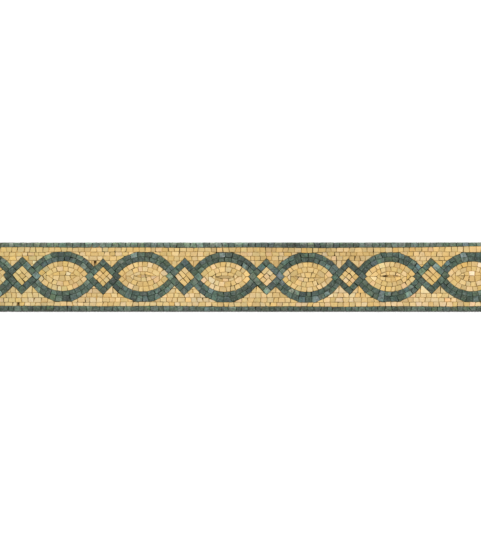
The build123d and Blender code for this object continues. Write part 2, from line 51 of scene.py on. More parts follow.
# ---- what a stone's outline and colour are made of ------------------------
# Linear colours: a usual stone, then kinds of stone with how common each is and
# how it differs from the usual one.
CREAM = (0.502, 0.350, 0.131)
CREAM_KINDS = [
    (0.48, (1.00, 1.00, 1.00)),  # golden
    (0.19, (0.93, 0.89, 0.74)),  # deeper gold
    (0.16, (1.06, 1.09, 1.32)),  # light
    (0.10, (0.84, 0.82, 0.80)),  # ochre
    (0.04, (1.03, 0.98, 1.18)),  # pinkish
    (0.01, (1.16, 1.28, 1.70)),  # pale
]
GREEN = (0.0326, 0.0536, 0.0358)
GREEN_KINDS = [
    (0.45, (0.98, 0.98, 0.98)),  # grey green
    (0.23, (0.62, 0.65, 0.62)),  # dark
    (0.15, (1.80, 1.63, 1.74)),  # light
    (0.10, (1.25, 1.20, 1.48)),  # bluish
    (0.05, (2.62, 2.26, 2.80)),  # pale
]
EDGE_KINDS = [
    (0.50, (1.00, 1.00, 1.00)),
    (0.20, (0.70, 0.72, 0.70)),
    (0.20, (1.38, 1.30, 1.36)),
    (0.10, (1.15, 1.12, 1.30)),
]
# Stones that stand out in the photograph: place in mm, and how they differ
STAND_OUT = [
    ((353.0, 6.1), (1.25, 1.42, 2.75)),
    ((370.3, 21.9), (1.22, 1.40, 2.45)),
    ((-353.2, 8.8), (1.12, 1.24, 1.60)),
    ((-407.6, 25.4), (1.18, 1.40, 2.10)),
    ((-219.7, 14.9), (1.14, 1.08, 1.45)),
]
# Colour of the joint bed: dust where the joints are full, and painted shade, near black, where they are hollow
BED_CREAM, BED_GREEN = (0.38, 0.240, 0.080), (0.060, 0.083, 0.060)
HOLLOW_SHADE_CREAM, HOLLOW_SHADE_GREEN = (0.052, 0.029, 0.010), (0.016, 0.022, 0.016)
# Where the joints are empty: place in mm and how far about
EMPTY = [
    ((-302.8, 25.4), 5.0),
    ((-434.9, -46.5), 5.0),
    ((203.0, 0.3), 8.0),
    ((-349.0, 3.5), 7.0),
    ((-84.0, 0.5), 8.0),
    ((-62.0, -15.0), 6.0),
    ((70.0, -3.0), 8.0),
    ((-374.0, -3.0), 6.0),
    ((-1.5, 3.0), 7.0),
    ((-428.0, 2.5), 7.0),
    ((-287.0, 1.0), 6.0),
    ((142.0, 1.0), 8.0),
    ((240.0, -8.0), 6.0),
    ((-447.5, -14.8), 5.5),
    ((-306.0, -18.6), 5.5),
    ((-271.5, -20.6), 5.0),
    ((-18.0, -16.8), 5.5),
    ((150.6, -19.7), 5.5),
    ((-170.0, 48.5), 5.5),
    ((-71.3, 48.5), 5.5),
    ((-15.0, 31.6), 5.5),
    ((19.8, 32.6), 5.5),
    ((53.0, 47.5), 5.5),
    ((78.0, 47.5), 5.5),
    ((125.0, 48.0), 5.0),
    ((251.0, -46.8), 5.0),
]
# Joints that stand open: place in mm and how wide
OPEN_JOINTS = [((-302.8, 25.4), 2.0), ((-434.9, -46.5), 2.0)]
STAND_OUT = [((x, y + UP), colour) for (x, y), colour in STAND_OUT]
EMPTY = [((x, y + UP), about) for (x, y), about in EMPTY]
OPEN_JOINTS = [((x, y + UP), wide) for (x, y), wide in OPEN_JOINTS]


def cut(poly, nx, ny, d):
    """What of a convex outline lies where nx*x + ny*y <= d."""
    kept = []
    for a, b in zip(poly, poly[1:] + poly[:1]):
        sa, sb = nx * a[0] + ny * a[1] - d, nx * b[0] + ny * b[1] - d
        if sa <= 0:
            kept.append(a)
        if (sa < 0 < sb) or (sb < 0 < sa):
            t = sa / (sa - sb)
            kept.append((a[0] + t * (b[0] - a[0]), a[1] + t * (b[1] - a[1])))
    return kept


def hull(points):
    """Convex outline of points, anticlockwise."""
    points = sorted(set(points))

    def half(ps):
        out = []
        for p in ps:
            while len(out) > 1 and (
                (out[-1][0] - out[-2][0]) * (p[1] - out[-2][1])
                - (out[-1][1] - out[-2][1]) * (p[0] - out[-2][0])
            ) <= 1e-6:
                out.pop()
            out.append(p)
        return out[:-1]

    return half(points) + half(points[::-1])


def stones_of(node):
    """(outline, height) of each stone of a CAD node, in mm: its top faces."""
    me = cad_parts[node].data
    co = np.empty(len(me.vertices) * 3)
    me.vertices.foreach_get("co", co)
    co = co.reshape(-1, 3) / MM
    me.calc_loop_triangles()
    tri = np.empty(len(me.loop_triangles) * 3, dtype=int)
    me.loop_triangles.foreach_get("vertices", tri)
    tri = tri.reshape(-1, 3)
    p = co[tri]
    n = np.cross(p[:, 1] - p[:, 0], p[:, 2] - p[:, 0])
    up = (n[:, 2] > 0.9 * np.linalg.norm(n, axis=1)) & (p[:, :, 2].min(axis=1) > 5.0)
    keys = np.round(co, 3)
    parent = {}

    def root(k):
        while parent[k] != k:
            parent[k] = parent[parent[k]]
            k = parent[k]
        return k

    for t in tri[up]:
        ks = [tuple(keys[v]) for v in t]
        for k in ks:
            parent.setdefault(k, k)
        for k in ks[1:]:
            parent[root(ks[0])] = root(k)
    groups = {}
    for k in parent:
        groups.setdefault(root(k), []).append(k)
    out = []
    for ks in groups.values():
        out.append((hull([(k[0], k[1]) for k in ks]), ks[0][2]))
    return sorted(out, key=lambda s: (round(s[0][0][0], 1), round(s[0][0][1], 1)))


def rim(poly, rng):
    """Points along a stone's outline with its corners worn round."""
    n = len(poly)
    pts = []
    for i in range(n):
        a, p, c = (np.array(poly[j % n]) for j in (i - 1, i, i + 1))
        la, lc = np.linalg.norm(a - p), np.linalg.norm(c - p)
        u, v = (a - p) / la, (c - p) / lc
        r = min(rng.uniform(0.25, 0.75), 0.3 * la, 0.3 * lc)
        pts += [p + u * r, p + (u + v) * 0.3 * r, p + v * r]
        b, d = np.array(poly[(i + 1) % n]), np.array(poly[(i + 2) % n])
        far = min(0.5, 0.3 * np.linalg.norm(b - p), 0.3 * np.linalg.norm(d - b))
        start, end = p + v * r, b - v * far
        k = max(1, round(np.linalg.norm(end - start) / 1.9))
        pts += [start + (end - start) * (j / k) for j in range(1, k)]
    return np.array(pts)


def course(node, x, y):
    """Which way a stone's course runs: its sides along it are sawn, the others nipped."""
    if node.startswith("lens"):
        (lx, ly), side = LENSES[node[-1]], 1 if y > LENSES[node[-1]][1] else -1
        rx, ry = x - lx, y - ly + side * ARC_DROP
        return -ry / math.hypot(rx, ry), rx / math.hypot(rx, ry)
    return (0.71, 0.71) if node.startswith("diamond") else (1.0, 0.0)


def nipped(node, poly, rng):
    """A stone's outline with some sides running off at one end."""
    x, y = middle(poly)
    tx, ty = course(node, x, y)
    size = math.sqrt(sum(a[0] * b[1] - b[0] * a[1] for a, b in zip(poly, poly[1:] + poly[:1])) / 2)
    much = min(1.0, size / 8.0) * (1.2 if node.startswith("diamond_fill") else 1.0)
    for a, b in zip(poly, poly[1:] + poly[:1]):
        run = math.dist(a, b)
        rim = min(abs(a[0]), abs(b[0])) > 498.5 or min(abs(a[1] - UP), abs(b[1] - UP)) > 58.0
        if run < 3.5 or rim:
            continue
        nx, ny = (b[1] - a[1]) / run, -(b[0] - a[0]) / run
        across = abs(nx * tx + ny * ty)
        back = [much * 0.10 * rng.random() * across] * 2
        if rng.random() < 0.10 + 0.42 * across:
            back[rng.randrange(2)] += much * rng.uniform(0.25, 0.55 + 0.55 * across)
        a2 = (a[0] - nx * back[0], a[1] - ny * back[0])
        b2 = (b[0] - nx * back[1], b[1] - ny * back[1])
        run = math.dist(a2, b2)
        mx, my = (b2[1] - a2[1]) / run, -(b2[0] - a2[0]) / run
        slim = cut(poly, mx, my, mx * a2[0] + my * a2[1])
        if len(slim) >= 3:
            poly = slim
    # without corners that nearly meet
    out = []
    for q in poly:
        if not out or math.dist(q, out[-1]) > 0.4:
            out.append(q)
    while len(out) > 3 and math.dist(out[0], out[-1]) < 0.4:
        out.pop()
    return out


def widths(poly):
    """A stone's least width, and its greatest."""
    least = min(
        max(((b[0] - a[0]) * (p[1] - a[1]) - (b[1] - a[1]) * (p[0] - a[0])) / math.dist(a, b) for p in poly)
        for a, b in zip(poly, poly[1:] + poly[:1])
    )
    return least, max(math.dist(p, q) for p in poly for q in poly)


def pick(kinds, rng):
    x = rng.random() * sum(w for w, _ in kinds)
    for w, colour in kinds:
        x -= w
        if x <= 0:
            return colour
    return kinds[-1][1]


def stone_mesh(poly, top, rng):
    """Vertices (mm), faces and, per vertex, edge wear and depth of one stone."""
    line = rim(poly, rng)
    n = len(line)
    tangent = np.roll(line, -1, 0) - np.roll(line, 1, 0)
    inward = np.stack([-tangent[:, 1], tangent[:, 0]], 1)
    inward /= np.linalg.norm(inward, axis=1)[:, None]
    mid = line.mean(0)
    # how deep an inset may go where the stone is narrow
    room = np.abs(((mid - line) * inward).sum(1))
    scale = np.minimum(1.0, room / 3.0)

    along = np.linspace(0, 2 * math.pi, n, endpoint=False)
    wear = np.full(n, rng.uniform(0.75, 1.35))
    for k in (2, 3, 5, 7):
        wear += 0.16 * np.sin(k * along + rng.uniform(0, 6.28))
    wear = np.clip(wear, 0.45, 2.2)
    chip = np.zeros(n)
    for _ in range(rng.choice([0, 0, 1, 1, 1, 2, 2, 3])):
        at = line[rng.randrange(n)]
        size, deep = rng.uniform(0.9, 2.3), rng.uniform(0.3, 1.0)
        near = np.linalg.norm(line - at, axis=1) / size
        chip = np.maximum(chip, deep * np.clip(1.0 - near, 0, 1) ** 0.6)

    # the face: a slight tilt and hand-split waves
    tilt = np.array([rng.gauss(0, 0.011), rng.gauss(0, 0.011)])
    waves = [
        (
            rng.uniform(0.02, 0.055),
            np.array([math.cos(t), math.sin(t)]) * 2 * math.pi / rng.uniform(4.0, 11.0),
            rng.uniform(0, 6.28),
        )
        for t in (rng.uniform(0, 6.28) for _ in range(4))
    ]

    def face(p):
        z = (p - mid) @ tilt
        for a, k, ph in waves:
            z = z + a * np.sin(p @ k + ph)
        return np.minimum(top - 0.22 + z, top - 0.01)

    rough = np.array([abs(rng.gauss(0, 0.05)) for _ in range(n)])
    lip = face(line)
    rings = [
        # inset, height, wear, depth
        (0.10 + rough, np.full(n, BACKING_TOP), 1.0, 1.0),
        (0.02 + rough * scale, lip - 2.4 - 0.5 * chip, 1.0, 0.33),
        (0.01 + 0.4 * rough, lip - 0.30 * wear - 1.0 * chip, 1.0, 0.10),
        ((0.07 * wear + 0.30 * chip) * scale, lip - 0.11 * wear - 0.45 * chip, 1.0, 0.03),
        ((0.26 * wear + 0.80 * chip) * scale, lip - 0.015 - 0.02 * wear, 0.7, 0.0),
    ]
    verts, worn, deep = [], [], []
    for inset, z, w, d in rings:
        p = line + inward * np.minimum(inset, 0.55 * room)[:, None]
        verts.append(np.column_stack([p, z]))
        worn.append(np.full(n, w))
        deep.append(np.full(n, d))
    last = verts[-1][:, :2]
    for f, w in ((0.24, 0.25), (0.55, 0.0), (0.82, 0.0)):
        p = last + (mid - last) * f
        verts.append(np.column_stack([p, face(p)]))
        worn.append(np.full(n, w))
        deep.append(np.zeros(n))
    verts.append(np.array([[mid[0], mid[1], float(face(mid[None])[0])]]))
    worn.append(np.zeros(1))
    deep.append(np.zeros(1))
    faces = [tuple(range(n - 1, -1, -1))]
    count = len(verts) - 1
    for r in range(count - 1):
        a, b = r * n, (r + 1) * n
        for i in range(n):
            j = (i + 1) % n
            faces.append((a + i, a + j, b + j, b + i))
    a, c = (count - 1) * n, count * n
    faces += [(a + i, a + (i + 1) % n, c) for i in range(n)]
    return np.concatenate(verts), faces, np.concatenate(worn), np.concatenate(deep)


def new_object(name, verts, faces, smooth=True):
    me = bpy.data.meshes.new(name)
    me.from_pydata([tuple(v) for v in verts], [], faces)
    me.update()
    if smooth:
        me.polygons.foreach_set("use_smooth", [True] * len(me.polygons))
        me.set_sharp_from_angle(angle=math.radians(62))
    ob = bpy.data.objects.new(name, me)
    bpy.context.scene.collection.objects.link(ob)
    return ob


def spread(colour, rng, much, hue):
    """A colour a little lighter or darker, warmer or cooler."""
    lift = math.exp(rng.gauss(0, much))
    warm, blue = rng.gauss(0, hue), rng.gauss(0, 1.5 * hue)
    r, g, b = colour
    return (r * lift * (1 + warm), g * lift, b * lift * (1 - 1.2 * warm + blue))


# ---- materials -----------------------------------------------------------
class Nodes:
    """Short ways to write a material's nodes."""

    def __init__(self, name):
        self.m = bpy.data.materials.new(name)
        self.m.use_nodes = True
        self.t = self.m.node_tree
        self.shader = self.t.nodes["Principled BSDF"]

    def add(self, kind, **values):
        n = self.t.nodes.new(kind)
        for k, v in values.items():
            setattr(n, k, v)
        return n

    def link(self, a, b):
        self.t.links.new(a, b)

    def put(self, socket, value):
        if hasattr(value, "is_linked"):
            self.link(value, socket)
        elif isinstance(value, (tuple, list)) and len(value) == 3 and socket.type == "RGBA":
            socket.default_value = (*value, 1.0)
        else:
            socket.default_value = value

    def math(self, op, a, b=None, c=None, clamp=False):
        n = self.add("ShaderNodeMath", operation=op, use_clamp=clamp)
        for s, v in zip(n.inputs, (a, b, c)):
            if v is not None:
                self.put(s, v)
        return n.outputs[0]

    def vmath(self, op, a, b):
        n = self.add("ShaderNodeVectorMath", operation=op)
        self.put(n.inputs[0], a)
        self.put(n.inputs[1], b)
        return n.outputs[0]

    def mix(self, blend, fac, a, b):
        n = self.add("ShaderNodeMix", data_type="RGBA", blend_type=blend)
        n.clamp_factor = True
        self.put(n.inputs[0], fac)
        self.put(n.inputs[6], a)
        self.put(n.inputs[7], b)
        return n.outputs[2]

    def noise(self, vector, scale, detail=3.0, rough=0.55, distort=0.0):
        n = self.add("ShaderNodeTexNoise")
        self.put(n.inputs["Vector"], vector)
        n.inputs["Scale"].default_value = scale
        n.inputs["Detail"].default_value = detail
        n.inputs["Roughness"].default_value = rough
        n.inputs["Distortion"].default_value = distort
        return n.outputs["Fac"]

    def voronoi(self, vector, scale, feature="F1"):
        n = self.add("ShaderNodeTexVoronoi", feature=feature)
        self.put(n.inputs["Vector"], vector)
        n.inputs["Scale"].default_value = scale
        return n.outputs["Distance"]

    def range(self, value, a, b, c=0.0, d=1.0, smooth=True):
        n = self.add("ShaderNodeMapRange")
        n.interpolation_type = "SMOOTHSTEP" if smooth else "LINEAR"
        self.put(n.inputs[0], value)
        for s, v in zip(n.inputs[1:5], (a, b, c, d)):
            s.default_value = v
        return n.outputs[0]

    def bump(self, height, strength, distance, normal=None):
        n = self.add("ShaderNodeBump")
        n.inputs["Strength"].default_value = strength
        n.inputs["Distance"].default_value = distance
        self.link(height, n.inputs["Height"])
        if normal is not None:
            self.link(normal, n.inputs["Normal"])
        return n.outputs[0]


def stone_material(name, vein, vein_much, mottle, patch, hues, dirt_and_shade, rough, shine):
    k = Nodes(name)
    tint = k.add("ShaderNodeAttribute", attribute_name="stone")
    info = k.add("ShaderNodeAttribute", attribute_name="info")
    split = k.add("ShaderNodeSeparateColor")
    k.link(info.outputs["Color"], split.inputs[0])
    seed, worn, deep = split.outputs[0], split.outputs[1], split.outputs[2]
    # every stone is cut from another place in the block
    place = k.add("ShaderNodeTexCoord").outputs["Object"]
    shift = k.add("ShaderNodeCombineXYZ")
    for s, much in zip(shift.inputs, (7.3, 3.1, 5.7)):
        k.put(s, k.math("MULTIPLY", seed, much))
    place = k.vmath("ADD", place, shift.outputs[0])

    cloud = k.noise(place, 110.0, 4.0, 0.6, 0.4)
    patches = k.noise(place, 240.0, 3.0, 0.55, 0.8)
    grain = k.noise(place, 900.0, 3.0, 0.6)
    fine = k.noise(place, 2600.0, 2.0, 0.5)
    bed = k.noise(place, 58.0, 5.0, 0.62, 1.6)
    line = k.math("ABSOLUTE", k.math("SUBTRACT", bed, 0.5))
    veins = k.math("MULTIPLY", k.range(line, 0.0, 0.024, 1.0, 0.0), vein_much)
    hair = k.math("ABSOLUTE", k.math("SUBTRACT", k.noise(place, 150.0, 4.0, 0.6, 1.0), 0.5))
    hairs = k.math("MULTIPLY", k.range(hair, 0.0, 0.014, 1.0, 0.0), 0.5 * vein_much)
    veins = k.math("MULTIPLY", k.math("MAXIMUM", veins, hairs), k.range(patches, 0.34, 0.58))
    pore = k.noise(place, 620.0, 2.0, 0.5, 0.6)
    some = k.noise(place, 170.0, 2.0, 0.5)
    pits = k.math("MULTIPLY", k.range(pore, 0.64, 0.70), k.range(some, 0.48, 0.60))

    lo, hi = mottle
    shade = k.range(cloud, 0.28, 0.72, lo, hi, smooth=False)
    lo, hi = patch
    shade = k.math("MULTIPLY", shade, k.range(patches, 0.34, 0.66, lo, hi))
    shade = k.math("MULTIPLY", shade, k.range(grain, 0.25, 0.75, 0.94, 1.06, smooth=False))
    grey = k.add("ShaderNodeCombineColor")
    for s in grey.inputs[:3]:
        k.link(shade, s)
    colour = k.mix("MULTIPLY", 1.0, tint.outputs["Color"], grey.outputs[0])
    turn = k.range(k.noise(place, 150.0, 3.0, 0.55, 0.6), 0.36, 0.64)
    colour = k.mix("MULTIPLY", 1.0, colour, k.mix("MIX", turn, *hues))
    colour = k.mix("MIX", veins, colour, vein)
    colour = k.mix("MULTIPLY", k.math("MULTIPLY", pits, 0.6), colour, dirt_and_shade)
    # dust and painted shade lie low in the joints and in the worn edges: the stone sides darken with depth
    dust_and_shade = k.math("MULTIPLY", k.range(deep, 0.02, 0.42), 0.85)
    colour = k.mix("MULTIPLY", dust_and_shade, colour, dirt_and_shade)
    k.link(colour, k.shader.inputs["Base Color"])

    r = k.range(cloud, 0.3, 0.7, rough - 0.07, rough + 0.07, smooth=False)
    r = k.math("ADD", r, k.math("MULTIPLY", k.math("ADD", worn, pits), 0.10), clamp=True)
    k.link(r, k.shader.inputs["Roughness"])
    k.shader.inputs["Specular IOR Level"].default_value = shine

    h = k.math("MULTIPLY", grain, 0.5)
    h = k.math("ADD", h, k.math("MULTIPLY", fine, 0.3))
    h = k.math("ADD", h, k.math("MULTIPLY", cloud, 0.5))
    h = k.math("SUBTRACT", h, k.math("MULTIPLY", pits, 0.9))
    h = k.math("SUBTRACT", h, k.math("MULTIPLY", veins, 0.25))
    k.link(k.bump(h, 0.55, 0.00022), k.shader.inputs["Normal"])
    return k.m


cream = stone_material(
    "cream_limestone", (0.36, 0.20, 0.066), 0.34, (0.88, 1.10), (0.95, 1.05),
    ((1.02, 1.0, 0.93), (0.98, 1.0, 1.07)), (0.69, 0.54, 0.31), 0.58, 0.36,
)
green = stone_material(
    "green_marble", (0.20, 0.26, 0.22), 0.34, (0.62, 1.40), (0.70, 1.50),
    ((0.86, 1.04, 0.93), (1.14, 0.97, 1.09)), (0.62, 0.60, 0.54), 0.50, 0.26,
)


def adhesive_material():
    k = Nodes("dried_adhesive")
    place = k.add("ShaderNodeTexCoord").outputs["Object"]
    cloud = k.noise(place, 45.0, 5.0, 0.6, 0.5)
    fine = k.noise(place, 700.0, 3.0, 0.55)
    # the film's dark grey is painted shade: the stones' shadow on the rim that stands out below them
    colour = k.mix("MIX", k.range(cloud, 0.35, 0.65), (0.060, 0.060, 0.055), (0.105, 0.105, 0.096))
    colour = k.mix("MIX", k.range(fine, 0.55, 0.75, 0.0, 0.4), colour, (0.16, 0.16, 0.148))
    k.link(colour, k.shader.inputs["Base Color"])
    k.link(k.range(cloud, 0.3, 0.7, 0.34, 0.52), k.shader.inputs["Roughness"])
    h = k.math("ADD", k.math("MULTIPLY", cloud, 1.2), k.math("MULTIPLY", fine, 0.35))
    k.link(k.bump(h, 0.5, 0.0003), k.shader.inputs["Normal"])
    return k.m


def dust_and_shade_material():
    k = Nodes("joint_dust_and_shade")
    # its tint is dust where the joints are full and painted shade where they are hollow
    tint = k.add("ShaderNodeAttribute", attribute_name="stone")
    place = k.add("ShaderNodeTexCoord").outputs["Object"]
    fine = k.noise(place, 600.0, 4.0, 0.6)
    cloud = k.noise(place, 130.0, 3.0, 0.6)
    shade = k.math("MULTIPLY", k.range(fine, 0.3, 0.7, 0.75, 1.25), k.range(cloud, 0.35, 0.65, 0.6, 1.3))
    grey = k.add("ShaderNodeCombineColor")
    for s in grey.inputs[:3]:
        k.link(shade, s)
    k.link(k.mix("MULTIPLY", 1.0, tint.outputs["Color"], grey.outputs[0]), k.shader.inputs["Base Color"])
    k.shader.inputs["Roughness"].default_value = 0.95
    k.shader.inputs["Specular IOR Level"].default_value = 0.15
    k.link(k.bump(fine, 0.6, 0.0003), k.shader.inputs["Normal"])
    return k.m


def strand_material():
    k = Nodes("glass_mesh")
    place = k.add("ShaderNodeTexCoord").outputs["Object"]
    n = k.noise(place, 350.0, 3.0, 0.6)
    # the strands' grey is painted shade too: the stones' shadow on the mesh where it stands out
    colour = k.mix("MIX", k.range(n, 0.35, 0.65), (0.26, 0.26, 0.24), (0.37, 0.37, 0.345))
    k.link(colour, k.shader.inputs["Base Color"])
    k.link(k.range(n, 0.3, 0.7, 0.32, 0.5), k.shader.inputs["Roughness"])
    k.link(k.bump(k.noise(place, 2400.0, 2.0, 0.5), 0.5, 0.0001), k.shader.inputs["Normal"])
    return k.m


# ---- stones --------------------------------------------------------------
def middle(poly):
    return sum(p[0] for p in poly) / len(poly), sum(p[1] for p in poly) / len(poly)


# Each lens is two facing arcs about centres past its middle line
ARC_DROP = 28.5
LENSES = {}
for n in range(1, 9):
    low_corner, high_corner = (Vector(c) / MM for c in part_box(f"lens_fill_{n}"))
    place = (low_corner + high_corner) / 2
    LENSES[str(n)] = (-500.0 if n == 1 else 500.0 if n == 8 else place.x, place.y)


def tone(node, x, y):
    """How the stones of one part of the strip differ from the usual ones."""
    if node == "upper_edge_course":  # darkest a little right of the middle
        lift = 1.40 - 0.90 * math.exp(-(((x - 45.0) / 115.0) ** 2))
        return (1.49 * lift, 1.24 * lift, 1.30 * lift)
    if node == "lower_edge_course":
        lift = 1.22 - 0.46 * math.exp(-(((x - 85.0) / 120.0) ** 2)) - 0.2 * math.exp(-(((x + 430.0) / 120.0) ** 2))
        return (1.07 * lift, 1.00 * lift, 1.01 * lift)
    if "frame" in node:
        lift = 1.12 - 0.20 * math.exp(-(((x - 60.0) / 130.0) ** 2)) - 0.16 * math.exp(-(((x + 430.0) / 60.0) ** 2))
        return (lift, lift, lift)
    # the cream stones turn from yellow at the left to lighter at the right
    left = min(1.0, max(0.0, (-330.0 - x) / 90.0))
    right = min(1.0, max(0.0, (x - 110.0) / 240.0))
    r, g, b = 1.0 - 0.06 * left + 0.06 * right, 1.0 - 0.02 * left + 0.05 * right, 1.0 - 0.05 * left + 0.05 * right
    if node.startswith("lower_ground"):  # paler
        more = min(1.0, max(0.0, (x + 120.0) / 450.0)) if y < UP - 43.0 else 0.3
        return (r * (1.0 + 0.01 * more), g * (1.03 + 0.02 * more), b * (1.15 + 0.10 * more))
    if node == "lens_fill_4":
        return (1.02 * r, 1.05 * g, 1.14 * b)
    if node == "lens_fill_6":
        return (1.04 * r, 1.04 * g, 1.03 * b)
    if node.startswith("upper_ground"):  # deeper a little right of the middle
        lift = 1.0 - 0.13 * math.exp(-(((x - 65.0) / 150.0) ** 2))
        return (lift * r, lift * g, lift * b)
    return (r, g, b)


def times(*colours):
    return tuple(math.prod(c) for c in zip(*colours))


all_stones = {n: stones_of(n) for n in sorted(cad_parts) if n != "mesh_backing"}
special = {}
for point, colour in STAND_OUT:
    best = min(
        (math.dist(middle(poly), point), node, i)
        for node, stones in all_stones.items()
        if "frame" not in node and "edge" not in node
        for i, (poly, _) in enumerate(stones)
    )
    special[best[1], best[2]] = colour

total = 0
near = []  # points on the stones, and whether they are green
for node, stones in all_stones.items():
    dark = "frame" in node or "edge" in node
    verts, faces, tint, info = [], [], [], []
    base = 0
    for i, (poly, top) in enumerate(stones):
        cx, cy = middle(poly)
        rng = random.Random(f"{node} {i}")
        for (x, y), wide in OPEN_JOINTS:
            ys = [p[1] for p in poly]
            if min(ys) < y < max(ys) and abs(cx - x) < 8.0:
                hand = 1 if cx > x else -1
                slim = cut(poly, -hand, 0.0, -hand * (x + hand * wide / 2))
                if len(slim) >= 3:
                    poly = slim
        poly = nipped(node, poly, rng)
        # in two lenses the slivers that close the middle lie lower and are coloured a darker brown
        least, most = widths(poly)
        sliver = node in ("lens_fill_4", "lens_fill_6") and most > 2.6 * least and least < 5.5
        if sliver:
            top -= 0.75
        v, f, worn, deep = stone_mesh(poly, top, rng)
        verts.append(v)
        faces += [tuple(base + q for q in face) for face in f]
        base += len(v)
        kinds = EDGE_KINDS if "edge" in node else GREEN_KINDS if dark else CREAM_KINDS
        kind = special.get((node, i)) or pick(kinds, rng)
        if sliver:
            kind = (0.72, 0.65, 0.53)
        colour = times(GREEN if dark else CREAM, kind, tone(node, cx, cy))
        colour = spread(colour, rng, *((0.05, 0.036) if not dark else (0.17, 0.05) if "edge" in node else (0.16, 0.058)))
        near += [(q[0], q[1], dark) for q in v[:: 9, :2]]
        shade = np.ones(len(v))
        if node == "upper_edge_course":  # painted highlight: paler along its outer arris
            much = 0.70 - 0.5 * min(1.0, max(0.0, (cx - 140.0) / 80.0)) + 0.8 * math.exp(-(((cx - 60.0) / 110.0) ** 2))
            shade += much * np.clip((v[:, 1] - cy - 0.8) / 1.6, 0, 1) * (deep < 0.3)
        elif node == "lower_edge_course":  # painted shade: darker towards its outer side
            shade += 0.045 * np.clip(v[:, 1] - cy, -4.0, 4.0)
        tint.append(np.column_stack([np.outer(shade, colour), np.ones(len(v))]))
        info.append(np.column_stack([np.full(len(v), rng.random()), worn, deep, np.ones(len(v))]))
    ob = new_object("stones_" + node, np.concatenate(verts) * MM, faces)
    for key, values in (("stone", tint), ("info", info)):
        a = ob.data.attributes.new(key, "FLOAT_COLOR", "POINT")
        a.data.foreach_set("color", np.concatenate(values).astype(np.float32).ravel())
    ob.data.materials.append(green if dark else cream)
    total += sum(len(p.vertices) - 2 for p in ob.data.polygons)
    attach(ob, "root")
    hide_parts(node)

# ---- backing: a film of adhesive with a woven mesh in its underside ---------
lo, hi = (Vector(c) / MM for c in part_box("mesh_backing"))
rng = random.Random(41)
NX, NY = 250, 30
film_rng = np.random.default_rng(7)
low = 0.50 + 0.06 * film_rng.standard_normal((NX + 1, NY + 1)).clip(-1.5, 1.5)
verts, faces = [], []
for layer in (0, 1):
    for i in range(NX + 1):
        for j in range(NY + 1):
            x = lo.x + (hi.x - lo.x) * i / NX
            y = lo.y + (hi.y - lo.y) * j / NY
            # the rim is a little ragged
            if j in (0, NY):
                y += abs(rng.gauss(0.05, 0.08)) if j == 0 else -abs(rng.gauss(0.25, 0.22))
            if i in (0, NX):
                x += (1 if i == 0 else -1) * abs(rng.gauss(0.25, 0.22))
            z = BACKING_TOP if layer else float(low[i, j])
            verts.append((x * MM, y * MM, z * MM))


def at(layer, i, j):
    return layer * (NX + 1) * (NY + 1) + i * (NY + 1) + j


for i in range(NX):
    for j in range(NY):
        faces.append((at(0, i, j), at(0, i, j + 1), at(0, i + 1, j + 1), at(0, i + 1, j)))
for i in range(NX):
    faces.append((at(0, i, 0), at(0, i + 1, 0), at(1, i + 1, 0), at(1, i, 0)))
    faces.append((at(0, i + 1, NY), at(0, i, NY), at(1, i, NY), at(1, i + 1, NY)))
for j in range(NY):
    faces.append((at(0, 0, j + 1), at(0, 0, j), at(1, 0, j), at(1, 0, j + 1)))
    faces.append((at(0, NX, j), at(0, NX, j + 1), at(1, NX, j + 1), at(1, NX, j)))
for i in range(NX):
    for j in range(NY):
        faces.append((at(1, i, j), at(1, i + 1, j), at(1, i + 1, j + 1), at(1, i, j + 1)))
film = new_object("adhesive_film", verts, faces)
film.data.materials.append(adhesive_material())
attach(film, "root")
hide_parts("mesh_backing")

# Dust and glue fill the joints to an uneven height under the faces
tree = KDTree(len(near))
for i, (x, y, dark) in enumerate(near):
    tree.insert((x, y, 0.0), i)
tree.balance()
BX, BY = 400, 48
DIAMONDS = []  # their joints are emptier
for b in range(1, 8):
    low_corner, high_corner = (Vector(c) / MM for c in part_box(f"diamond_fill_{b}"))
    c = (low_corner + high_corner) / 2
    DIAMONDS.append(((c.x, c.y), high_corner.x - low_corner.x))
rise = film_rng.standard_normal((BX + 1, BY + 1))
drift = film_rng.standard_normal((BX + 1, BY + 1))
for _ in range(2):
    drift = drift + 0.8 * sum(np.roll(drift, d, axis) for d in (-1, 1) for axis in (0, 1))
drift /= drift.std()
verts, faces, tint = [], [], []
for layer in (0, 1):
    for i in range(BX + 1):
        for j in range(BY + 1):
            x = lo.x + 1.2 + (hi.x - lo.x - 2.4) * i / BX
            y = UP - 58.8 + 117.6 * j / BY
            edge = i in (0, BX) or j in (0, BY)
            hollow = min(1.0, max(0.0, (float(drift[i, j]) - 0.42) / 1.1))
            for (ex, ey), about in DIAMONDS:
                hollow += 0.45 * min(1.0, max(0.0, 2.0 - 2.0 * (abs(x - ex) + abs(y - ey)) / about))
            for (ex, ey), about in EMPTY:
                hollow += 1.6 * max(0.0, 1.0 - math.hypot(x - ex, y - ey) / about)
            hollow = min(1.0, hollow)
            top = 7.2 + 0.35 * float(np.clip(rise[i, j], -2.5, 1.5)) - 4.8 * hollow
            top = 2.5 if edge else max(1.3, top)
            verts.append((x * MM, y * MM, (top if layer else BACKING_TOP) * MM))
            found = tree.find_n((x, y, 0.0), 8)
            share = min(1.0, 1.6 * sum(near[f[1]][2] for f in found) / len(found))  # green dust wins where both meet
            full = [p + (q - p) * share for p, q in zip(BED_CREAM, BED_GREEN)]
            # where the bed lies low its colour turns to painted shade
            empty = [p + (q - p) * share for p, q in zip(HOLLOW_SHADE_CREAM, HOLLOW_SHADE_GREEN)]
            tint.append([p + (q - p) * hollow for p, q in zip(full, empty)] + [1.0])
here = BX + 1, BY + 1


def spot(layer, i, j):
    return (layer * here[0] + i) * here[1] + j


